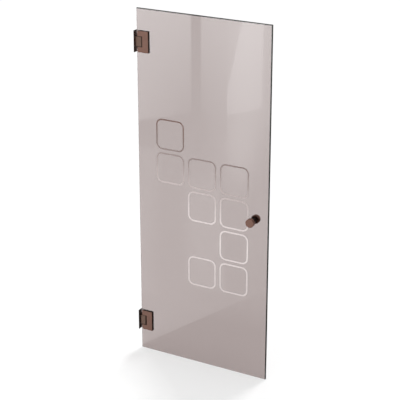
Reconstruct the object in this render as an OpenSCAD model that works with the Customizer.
// Frameless glass door leaf on two clamp hinges that swing both ways.
// X runs along the door from the wall to the free edge, the front faces -Y and Z is up.
// The origin is the middle of the lower wall plate's back face, which lies on the wall.

/* [Glass leaf] */
// Width of the glass, from its hinge edge to its free edge
glass_w = 800; // [700:5:1000]
// Height of the glass
glass_h = 2000; // [1800:10:2300]
// Thickness of the toughened glass
glass_t = 10; // [8:1:12]
// Small polished bevel along the outer edges of the glass
arris = 0.5; // [0.4:0.1:1.5]
// Gap between the wall and the hinge edge of the glass
wall_gap = 10.6; // [10.6:0.1:13]
// Distance from a glass corner to the middle of the nearest hinge
hinge_from_end = 180; // [120:5:300]

/* [Frosted squares] */
// Outside width and height of one frosted outline
square_size = 173; // [150:1:180]
// Width of the frosted line
line_w = 8; // [4:0.5:12]
// Outside corner radius of a frosted outline
square_r = 36; // [20:1:60]
// Distance between columns, centre to centre
column_pitch = 197; // [185:1:205]
// Distance between rows, centre to centre
row_pitch = 191; // [185:1:205]
// Distance from the hinge edge to the centre of the first column
first_column = 200; // [190:1:230]
// Distance from the top edge to the centre of the first row
first_row = 676; // [600:1:760]
// How deep the frosting is cut into the front face
frost_depth = 0.3; // [0.1:0.1:0.6]

/* [Clamp plates] */
// Width of a clamp plate along the door
clamp_w = 67; // [62:1:80]
// Height of a clamp plate
clamp_h = 118; // [112:1:140]
// Thickness of a clamp plate
clamp_t = 6; // [5.5:0.5:9]
// Distance from the hinge edge of the glass to the clamp plates
clamp_inset = 6.5; // [5:0.5:10]
// Bevel round the outer face of a clamp plate
clamp_bevel = 1; // [0.5:0.1:2]
// Thickness of the rubber gasket on each side of the glass
gasket_t = 1; // [0.5:0.1:1.5]
// How far the gaskets stay inside the clamp plates
gasket_inset = 1; // [0.5:0.1:2]
// Gap between the glass cut-out and the cast boss in it
boss_gap = 1; // [0.5:0.1:2]
// Inside corner radius of the glass cut-out
cutout_r = 10; // [8:0.5:12]
// Wall of the cast boss beyond the knuckle notch
boss_wall = 10; // [8:0.5:12]

/* [Knuckle and pin] */
// Distance from the wall to the turning axis
pivot_x = 34; // [32:0.5:40]
// Height of the notch that the pivot block sits in
notch_h = 59; // [50:1:64]
// Gap between the block's round nose and the end of the notch
nose_gap = 2; // [1.5:0.1:4]
// How far the block's faces lie below the faces of the clamp plates
block_recess = 0.5; // [0:0.1:1.5]
// Bevel along the upper and lower edges of the pivot block
block_bevel = 0.8; // [0.4:0.1:1.5]
// Diameter of the pivot pin
pin_d = 8; // [7:0.5:10]
// Radial running clearance of the pin in the pivot block
pin_play = 0.05; // [0.02:0.01:0.1]
// Length of the arms' bores that hold the ends of the pin
arm_h = 11; // [9:0.5:13]
// How far each end of the pin stays inside its arm
pin_inset = 0.5; // [0.2:0.1:1.5]
// Thickness of the thrust washer between the block and an arm
thrust_t = 2.5; // [1.5:0.1:3]
// Outside diameter of a thrust washer
thrust_d = 18; // [14:0.5:21]

/* [Wall plates] */
// Width of a wall plate across the door
wall_plate_w = 42; // [38:1:60]
// Height of a wall plate
wall_plate_h = 118; // [108:1:140]
// Thickness of a wall plate
wall_plate_t = 5; // [4:0.1:5]
// Bevel round the room side of a wall plate
wall_plate_bevel = 1; // [0.5:0.1:1.5]
// Distance between the wall screw holes across the plate
wall_hole_dy = 26; // [23:0.5:26]
// Distance between the wall screw holes up the plate
wall_hole_dz = 90; // [70:1:94]
// Diameter of a wall screw hole
wall_hole_d = 5.5; // [4:0.5:6]
// Diameter of the countersink of a wall screw hole
wall_sink_d = 10; // [8:0.5:10.5]

/* [Screws] */
// Diameter of the screws that hold the pivot block
block_screw_d = 6; // [5:0.5:8]
// Length of the screws that hold the pivot block
block_screw_len = 20; // [14:1:22]
// Distance between the two screws of a pivot block
block_screw_dz = 32; // [20:1:36]
// Diameter of the screws that draw the clamp plates together
clamp_screw_d = 5; // [4:0.5:6]
// Depth of a clamp screw's thread in the front clamp plate
clamp_thread = 4; // [3:0.5:4.5]
// How far each screw head lies below its surface
head_recess = 0.3; // [0.1:0.1:0.6]
// Clearance round a screw in its hole
screw_play = 0.05; // [0.02:0.01:0.2]

/* [Knobs] */
// Diameter of a knob's head
knob_d = 48; // [40:1:60]
// Length of a knob, from its washer to its face
knob_len = 40; // [36:1:50]
// Length of the straight head of a knob
knob_head = 20; // [16:1:24]
// Smallest diameter of a knob's neck
neck_d = 24; // [18:1:30]
// Diameter of a knob's foot
foot_d = 32; // [30:1:38]
// Rounding of the edge of a knob's face
knob_round = 2; // [1:0.5:4]
// Distance from the free edge of the glass to the knob's axis
knob_from_edge = 93; // [50:1:140]
// Height of the knob's axis above the bottom edge of the glass
knob_height = 927; // [800:1:1100]
// Thickness of the soft washer under each knob
knob_washer_t = 1; // [0.5:0.1:2]
// Diameter of the threaded rod that joins the knobs
rod_d = 8; // [6:0.5:10]
// How far the threaded rod goes into each knob
rod_in_knob = 16; // [10:1:20]
// Wall of the sleeve that keeps the rod off the glass
sleeve_wall = 1.7; // [1:0.1:2.5]

/* [Hidden] */

$fn = 96;
// A cut runs this far past the surface that it opens
over = 1;

bronze = "#5a4038";
glass_tint = "#b8a9a6";
steel = "#8a8a8a";
rubber = "#2b2826";
polymer = "#1d1c1b";
clear_polymer = "#cfd4d3";

// Places along the door
glass_x0 = wall_gap;
glass_x1 = wall_gap + glass_w;
clamp_x0 = glass_x0 + clamp_inset;
clamp_x1 = clamp_x0 + clamp_w;

// Places across the door, measured from the middle of the glass
glass_face = glass_t / 2;
clamp_inner = glass_face + gasket_t;
clamp_outer = clamp_inner + clamp_t;
block_face = clamp_outer - block_recess;

// Heights, measured from the middle of the lower hinge
glass_z0 = -hinge_from_end;
glass_z1 = glass_z0 + glass_h;
upper_z = glass_z1 - hinge_from_end;

// The pivot block's nose is round about the axis, and the notch ends just past it
notch_x1 = pivot_x + block_face + nose_gap;
boss_x1 = notch_x1 + boss_wall;
boss_half = notch_h / 2 + arm_h;
boss_r = cutout_r - boss_gap;
block_half = notch_h / 2 - thrust_t;
pin_half = boss_half - pin_inset;
pin_r = pin_d / 2;

// Screws: the head is a 90 degree countersink, twice as wide as the shank
head_ratio = 2;
socket_ratio = 0.6;
socket_depth_ratio = 0.5;
// The drilled holes end this far past the tips of the screws
drill_past = 0.5;
clamp_screw_xs = [(clamp_x0 + pivot_x - pin_r) / 2, boss_x1 - boss_wall / 2];
clamp_screw_z = notch_h / 2 + arm_h / 2;
clamp_screw_len = clamp_outer - head_recess + clamp_inner + clamp_thread;

knob_x = glass_x1 - knob_from_edge;
knob_z = glass_z0 + knob_height;
knob_seat = glass_face + knob_washer_t;
rod_half = knob_seat + rod_in_knob;
sleeve_r = rod_d / 2 + screw_play + sleeve_wall;
// The glass hole and the soft parts round it clear each other by this much
sleeve_gap = 0.1;
glass_hole_r = sleeve_r + sleeve_gap;
// The neck's waist is a round groove as high as the space between the foot and the head
foot_h = 3;
waist_r = (knob_len - knob_head - foot_h) / 2;

// Columns that hold a frosted square, row by row from the top
frosted = [[0], [0, 1, 2], [1, 2], [2], [1, 2]];

// Outline of a bar whose outer edges are bevelled, on the v0 side only or on both sides
function bevelled(u0, u1, v0, v1, c, both) = concat(
    [[u0 + c, v0], [u1 - c, v0], [u1, v0 + c]],
    both ? [[u1, v1 - c], [u1 - c, v1], [u0 + c, v1], [u0, v1 - c]] : [[u1, v1], [u0, v1]],
    [[u0, v0 + c]]
);

// Standing plate with mitred bevels: one bevelled bar along Z met by another along X
module bevelled_plate(x0, x1, z0, z1, y0, y1, c, both = false) {
    intersection() {
        translate([0, 0, z0]) linear_extrude(z1 - z0) polygon(bevelled(x0, x1, y0, y1, c, both));
        translate([x0, 0, 0]) rotate([90, 0, 90]) linear_extrude(x1 - x0)
            polygon([for (p = bevelled(z0, z1, y0, y1, c, both)) [p[1], p[0]]]);
    }
}

// Gives an outline drawn in X and Z its thickness, from y0 to y1
module slab(y0, y1) {
    translate([0, y1, 0]) rotate([90, 0, 0]) linear_extrude(y1 - y0) children();
}

// Rounded rectangle about the origin
module rounded_rect(w, h, r) {
    square([w, h - 2 * r], center = true);
    square([w - 2 * r, h], center = true);
    for (x = [-1, 1], y = [-1, 1]) translate([x * (w / 2 - r), y * (h / 2 - r)]) circle(r);
}

// Rectangle from x0 to x1 whose two corners at x1 are rounded
module tongue(x0, x1, half, r) {
    translate([x0, -half]) square([x1 - x0 - r, 2 * half]);
    translate([x0, r - half]) square([x1 - x0, 2 * (half - r)]);
    for (z = [-1, 1]) translate([x1 - r, z * (half - r)]) circle(r);
}

module frosted_square() {
    difference() {
        rounded_rect(square_size, square_size, square_r);
        rounded_rect(square_size - 2 * line_w, square_size - 2 * line_w, square_r - line_w);
    }
}

// Round bar along +Y at a place in X and Z
module bar_y(x, z, r, y0, y1) {
    translate([x, y1, z]) rotate([90, 0, 0]) cylinder(h = y1 - y0, r = r);
}

// Countersunk screw that points down -Z with the top of its head at z = 0
module countersunk_screw(d, length) {
    head_r = d * head_ratio / 2;
    difference() {
        union() {
            translate([0, 0, -length]) cylinder(h = length, d = d);
            translate([0, 0, d / 2 - head_r]) cylinder(h = head_r - d / 2, r1 = d / 2, r2 = head_r);
        }
        translate([0, 0, -d * socket_depth_ratio])
            cylinder(h = d * socket_depth_ratio + over, d = d * socket_ratio, $fn = 6);
    }
}

// Hole for that screw, with the surface at z = 0 and the head a little below it
module screw_hole(d, length) {
    hole_r = d / 2 + screw_play;
    sink_r = d * head_ratio / 2 + head_recess + screw_play;
    translate([0, 0, -head_recess - length - drill_past])
        cylinder(h = head_recess + length + drill_past + over, r = hole_r);
    translate([0, 0, hole_r - sink_r]) cylinder(h = sink_r - hole_r, r1 = hole_r, r2 = sink_r);
    cylinder(h = over, r = sink_r);
}

// Puts a screw or its hole at each clamp screw, driven from the back of the door
module at_clamp_screws(depth) {
    for (x = clamp_screw_xs, z = [-1, 1])
        translate([x, clamp_outer - depth, z * clamp_screw_z]) rotate([-90, 0, 0]) children();
}

// Puts a screw or its hole at each block screw, driven from the wall side
module at_block_screws(depth) {
    for (z = [-1, 1]) translate([depth, 0, z * block_screw_dz / 2]) rotate([0, -90, 0]) children();
}

module glass_panel() {
    color(glass_tint) difference() {
        bevelled_plate(glass_x0, glass_x1, glass_z0, glass_z1, -glass_face, glass_face, arris, true);
        for (z = [0, upper_z]) translate([0, 0, z]) slab(-glass_face - over, glass_face + over)
            tongue(0, boss_x1 + boss_gap, boss_half + boss_gap, cutout_r);
        bar_y(knob_x, knob_z, glass_hole_r, -glass_face - over, glass_face + over);
        for (row = [0 : len(frosted) - 1], column = frosted[row])
            translate([glass_x0 + first_column + column * column_pitch, 0,
                       glass_z1 - first_row - row * row_pitch])
                slab(-glass_face - over, -glass_face + frost_depth) frosted_square();
    }
}

module wall_plate() {
    color(bronze) difference() {
        rotate([0, 0, 90]) bevelled_plate(-wall_plate_w / 2, wall_plate_w / 2, -wall_plate_h / 2,
            wall_plate_h / 2, -wall_plate_t, 0, wall_plate_bevel);
        for (y = [-1, 1], z = [-1, 1])
            translate([wall_plate_t, y * wall_hole_dy / 2, z * wall_hole_dz / 2])
                rotate([0, 90, 0]) wall_hole();
        at_block_screws(0) screw_hole(block_screw_d, block_screw_len);
    }
}

// Countersunk hole for a wall screw, with the room side of the plate at z = 0
module wall_hole() {
    sink_h = (wall_sink_d - wall_hole_d) / 2;
    translate([0, 0, -wall_plate_t - over]) cylinder(h = wall_plate_t + 2 * over, d = wall_hole_d);
    translate([0, 0, -sink_h]) cylinder(h = sink_h, d1 = wall_hole_d, d2 = wall_sink_d);
    cylinder(h = over, d = wall_sink_d);
}

// Knuckle that stands on the wall plate and is round about the pin
module pivot_block() {
    color(bronze) difference() {
        intersection() {
            union() {
                translate([wall_plate_t, -block_face, -block_half])
                    cube([pivot_x - wall_plate_t, 2 * block_face, 2 * block_half]);
                translate([pivot_x, 0, -block_half]) cylinder(h = 2 * block_half, r = block_face);
            }
            block_bevels();
        }
        translate([pivot_x, 0, -block_half - over])
            cylinder(h = 2 * (block_half + over), r = pin_r + pin_play);
        at_block_screws(0) screw_hole(block_screw_d, block_screw_len);
    }
}

// The block's ends are bevelled, straight along its sides and as a cone round its nose
module block_bevels() {
    union() {
        translate([wall_plate_t, 0, 0]) rotate([90, 0, 90])
            linear_extrude(pivot_x - wall_plate_t)
                polygon(bevelled_both(block_face, block_half, block_bevel));
        translate([pivot_x, 0, 0]) rotate_extrude()
            intersection() {
                polygon(bevelled_both(block_face, block_half, block_bevel));
                translate([0, -block_half]) square([block_face, 2 * block_half]);
            }
    }
}

// Rectangle about the origin with its four corners cut off
function bevelled_both(u, v, c) = [
    [u - c, -v], [u, c - v], [u, v - c], [u - c, v], [c - u, v], [-u, v - c], [-u, c - v], [c - u, -v]
];

module block_screws() {
    color(steel) at_block_screws(head_recess) countersunk_screw(block_screw_d, block_screw_len);
}

module pivot_pin() {
    color(steel) translate([pivot_x, 0, 0]) rotate_extrude()
        polygon([[0, -pin_half], [pin_r - block_bevel, -pin_half], [pin_r, block_bevel - pin_half],
                 [pin_r, pin_half - block_bevel], [pin_r - block_bevel, pin_half], [0, pin_half]]);
}

module thrust_washers() {
    color(polymer) for (z = [block_half, -notch_h / 2]) translate([pivot_x, 0, z])
        difference() {
            cylinder(h = thrust_t, d = thrust_d);
            translate([0, 0, -over]) cylinder(h = thrust_t + 2 * over, r = pin_r + screw_play);
        }
}

// Plate on the outside of the glass, open at the hinge side round the pivot block
module clamp_plate() {
    difference() {
        bevelled_plate(clamp_x0, clamp_x1, -clamp_h / 2, clamp_h / 2, -clamp_outer, -clamp_inner,
            clamp_bevel);
        translate([clamp_x0 - over, -clamp_outer - over, -notch_h / 2])
            cube([notch_x1 - clamp_x0 + over, clamp_t + 2 * over, notch_h]);
    }
}

module front_clamp() {
    color(bronze) difference() {
        clamp_plate();
        at_clamp_screws(0) screw_hole(clamp_screw_d, clamp_screw_len);
    }
}

// The back plate is cast with the boss that fills the glass cut-out and carries the pin
module back_clamp() {
    color(bronze) difference() {
        union() {
            mirror([0, 1, 0]) clamp_plate();
            slab(-clamp_inner, clamp_inner) difference() {
                tongue(clamp_x0, boss_x1, boss_half, boss_r);
                translate([clamp_x0 - over, -notch_h / 2])
                    square([notch_x1 - clamp_x0 + over, notch_h]);
            }
        }
        translate([pivot_x, 0, -boss_half - over])
            cylinder(h = 2 * (boss_half + over), r = pin_r + screw_play);
        at_clamp_screws(0) screw_hole(clamp_screw_d, clamp_screw_len);
    }
}

module gasket() {
    color(rubber) slab(glass_face, clamp_inner) difference() {
        translate([clamp_x0 + gasket_inset, gasket_inset - clamp_h / 2])
            square([clamp_w - 2 * gasket_inset, clamp_h - 2 * gasket_inset]);
        tongue(0, boss_x1 + boss_gap, boss_half + boss_gap, cutout_r);
    }
}

module clamp_screws() {
    color(steel) at_clamp_screws(head_recess) countersunk_screw(clamp_screw_d, clamp_screw_len);
}

// Turned knob on the back of the door, waisted between its foot and its head
module knob() {
    color(bronze) translate([knob_x, knob_seat, knob_z]) rotate([-90, 0, 0]) rotate_extrude()
        difference() {
            union() {
                square([knob_d / 2, knob_len - knob_round]);
                square([knob_d / 2 - knob_round, knob_len]);
                translate([knob_d / 2 - knob_round, knob_len - knob_round]) circle(knob_round);
            }
            square([rod_d / 2 + screw_play, rod_in_knob + drill_past]);
            translate([foot_d / 2, -over]) square([knob_d, over + foot_h + waist_r]);
            translate([neck_d / 2 + waist_r, foot_h]) square([knob_d, 2 * waist_r]);
            translate([neck_d / 2 + waist_r, foot_h + waist_r]) circle(waist_r);
        }
}

module knob_washer() {
    color(polymer) difference() {
        bar_y(knob_x, knob_z, foot_d / 2, glass_face, knob_seat);
        bar_y(knob_x, knob_z, rod_d / 2 + screw_play, glass_face - over, knob_seat + over);
    }
}

module knob_rod() {
    color(steel) bar_y(knob_x, knob_z, rod_d / 2, -rod_half, rod_half);
}

module knob_sleeve() {
    color(clear_polymer) difference() {
        bar_y(knob_x, knob_z, sleeve_r, -glass_face, glass_face);
        bar_y(knob_x, knob_z, rod_d / 2 + screw_play, -glass_face - over, glass_face + over);
    }
}

module at_upper() { translate([0, 0, upper_z]) children(); }
module at_front() { mirror([0, 1, 0]) children(); }

glass_panel();
at_upper() wall_plate();  // upper_wall_plate
at_upper() pivot_block();  // upper_pivot_block
at_upper() block_screws();  // upper_block_screws
at_upper() pivot_pin();  // upper_pivot_pin
at_upper() thrust_washers();  // upper_thrust_washers
at_upper() front_clamp();  // upper_front_clamp
at_upper() back_clamp();  // upper_back_clamp
at_upper() at_front() gasket();  // upper_front_gasket
at_upper() gasket();  // upper_back_gasket
at_upper() clamp_screws();  // upper_clamp_screws
wall_plate();  // lower_wall_plate
pivot_block();  // lower_pivot_block
block_screws();  // lower_block_screws
pivot_pin();  // lower_pivot_pin
thrust_washers();  // lower_thrust_washers
front_clamp();  // lower_front_clamp
back_clamp();  // lower_back_clamp
at_front() gasket();  // lower_front_gasket
gasket();  // lower_back_gasket
clamp_screws();  // lower_clamp_screws
at_front() knob();  // front_knob
knob();  // back_knob
at_front() knob_washer();  // front_knob_washer
knob_washer();  // back_knob_washer
knob_rod();
knob_sleeve();
